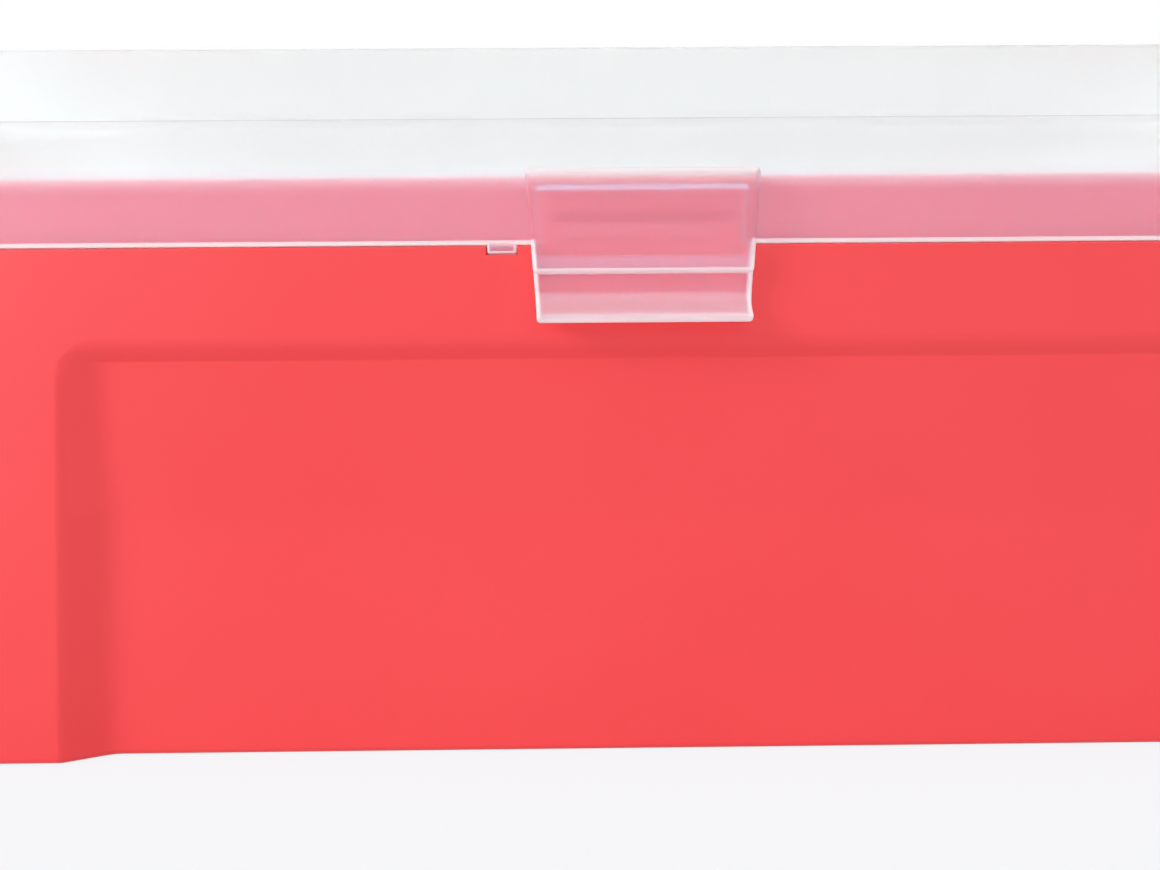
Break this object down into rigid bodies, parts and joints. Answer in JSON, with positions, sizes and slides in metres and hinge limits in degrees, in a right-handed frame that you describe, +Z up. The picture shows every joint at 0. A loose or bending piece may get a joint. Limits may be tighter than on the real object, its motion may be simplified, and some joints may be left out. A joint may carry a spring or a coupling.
{
  "type": "box of pipette tips",
  "caption": "Hinged-lid rack of filter pipette tips: red moulded base, frosted snap-shut cover with a front latch tab, and a drilled plate that holds the tips on a square grid.",
  "frame": {"origin": "middle of the footprint, on the surface that the box stands on", "axes": "+Z up; +X along the long side, to the right of someone who faces the latch; -Y towards the latch, +Y towards the hinge"},
  "size_m": [0.1278, 0.0914, 0.0637],
  "materials": {
    "red_polypropylene": "satin moulded polypropylene",
    "frosted_polypropylene": "natural translucent polypropylene, frosted",
    "white_polypropylene": "fine moulded matt",
    "natural_polypropylene": "natural translucent polypropylene, polished",
    "porous_polyethylene": "sintered, porous"
  },
  "bodies": {
    "rack": {"base": "red_polypropylene", "tip_plate": "white_polypropylene", "tip_A1": "natural_polypropylene", "tip_A3": "natural_polypropylene", "tip_A5": "natural_polypropylene", "tip_A8": "natural_polypropylene", "tip_A10": "natural_polypropylene", "tip_A12": "natural_polypropylene", "tip_C1": "natural_polypropylene", "tip_C3": "natural_polypropylene", "tip_C5": "natural_polypropylene", "tip_C8": "natural_polypropylene", "tip_C10": "natural_polypropylene", "tip_C12": "natural_polypropylene", "tip_F1": "natural_polypropylene", "tip_F3": "natural_polypropylene", "tip_F5": "natural_polypropylene", "tip_F8": "natural_polypropylene", "tip_F10": "natural_polypropylene", "tip_F12": "natural_polypropylene", "tip_H1": "natural_polypropylene", "tip_H3": "natural_polypropylene", "tip_H5": "natural_polypropylene", "tip_H8": "natural_polypropylene", "tip_H10": "natural_polypropylene", "tip_H12": "natural_polypropylene", "filter_A1": "porous_polyethylene", "filter_A3": "porous_polyethylene", "filter_A5": "porous_polyethylene", "filter_A8": "porous_polyethylene", "filter_A10": "porous_polyethylene", "filter_A12": "porous_polyethylene", "filter_C1": "porous_polyethylene", "filter_C3": "porous_polyethylene", "filter_C5": "porous_polyethylene", "filter_C8": "porous_polyethylene", "filter_C10": "porous_polyethylene", "filter_C12": "porous_polyethylene", "filter_F1": "porous_polyethylene", "filter_F3": "porous_polyethylene", "filter_F5": "porous_polyethylene", "filter_F8": "porous_polyethylene", "filter_F10": "porous_polyethylene", "filter_F12": "porous_polyethylene", "filter_H1": "porous_polyethylene", "filter_H3": "porous_polyethylene", "filter_H5": "porous_polyethylene", "filter_H8": "porous_polyethylene", "filter_H10": "porous_polyethylene", "filter_H12": "porous_polyethylene"},
    "lid": {"lid": "frosted_polypropylene"}
  },
  "joints": [
    {"name": "lid_hinge", "type": "hinge", "parent": "rack", "child": "lid", "pos_m": [0, 0.0433, 0.04595], "axis": [-1, 0, 0], "range_deg": [0, 110]}
  ]
}
